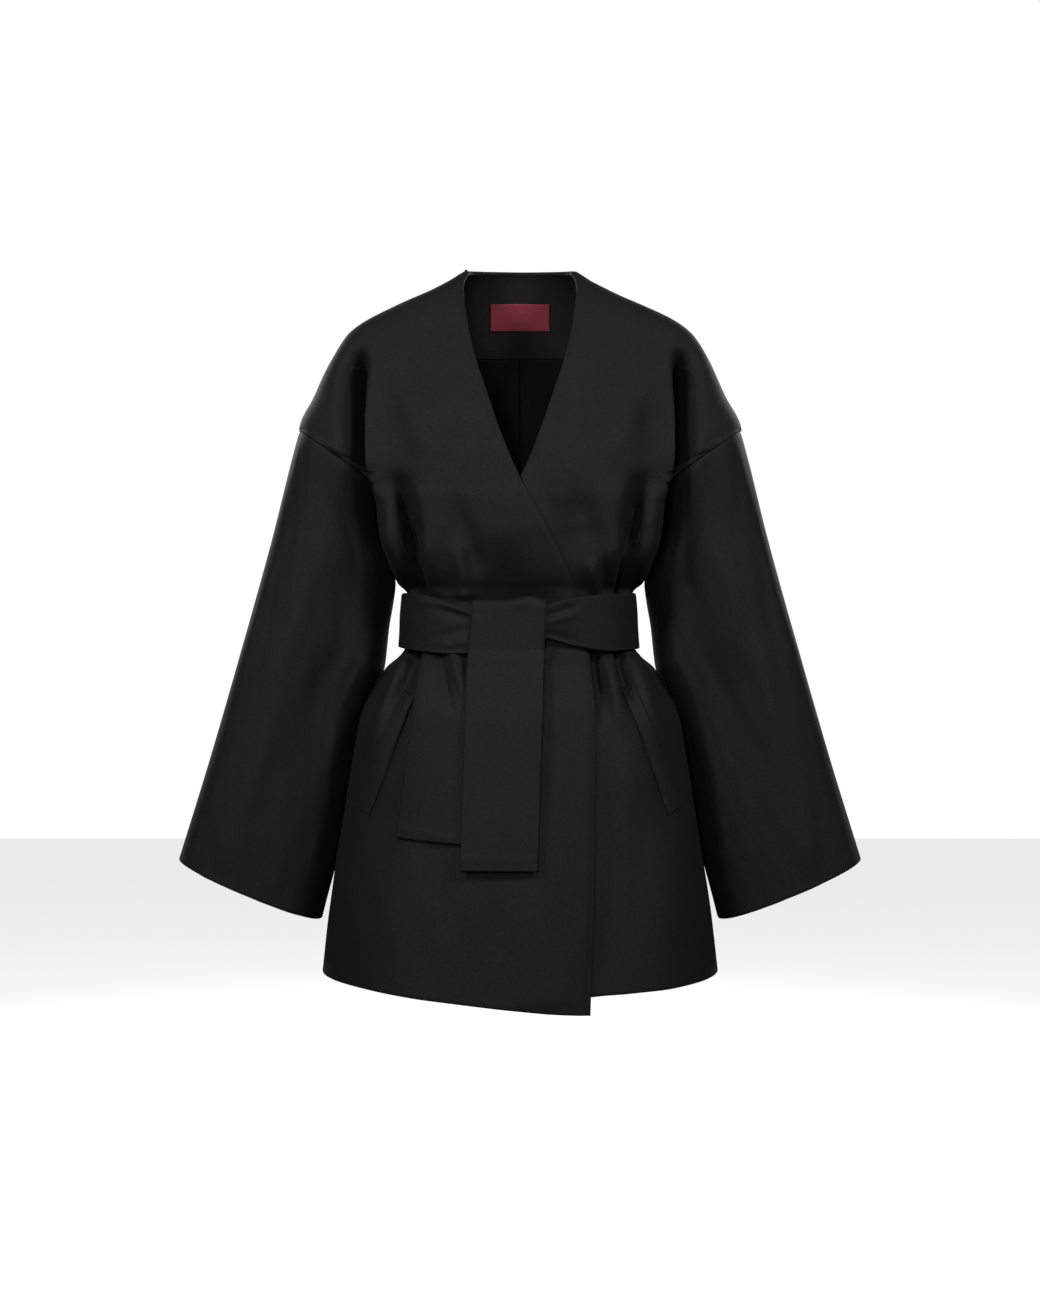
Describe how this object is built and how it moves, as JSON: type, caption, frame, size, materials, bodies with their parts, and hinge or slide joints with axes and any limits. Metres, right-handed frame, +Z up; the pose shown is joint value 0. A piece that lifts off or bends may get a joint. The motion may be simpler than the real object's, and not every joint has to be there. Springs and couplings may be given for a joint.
{
  "type": "kimono coat",
  "caption": "Short wrap coat with a V neck, dropped shoulders, wide kimono sleeves, a wide tied belt with hanging tails and slanted welt pockets, hollow as worn.",
  "frame": {"origin": "on the shoulder line, midway between the two sides of the neck, where the wearer's shoulders carry the coat", "axes": "+Z up, the front of the coat towards -Y, the wearer's right side at -X"},
  "size_m": [0.762, 0.3182, 0.8157],
  "materials": {
    "wool": "matte",
    "lining": "satin",
    "label": "matte"
  },
  "bodies": {
    "root": {"front_right": "wool", "front_left": "wool", "back": "wool", "sleeve_right": "wool", "sleeve_left": "wool", "belt_band": "wool", "belt_tail_front": "wool", "belt_tail_rear": "wool", "pocket_welt_right": "wool", "pocket_welt_left": "wool", "neck_facing_right": "wool", "neck_facing_left": "wool", "back_lining_right": "lining", "back_lining_left": "lining", "label": "label"}
  },
  "joints": []
}
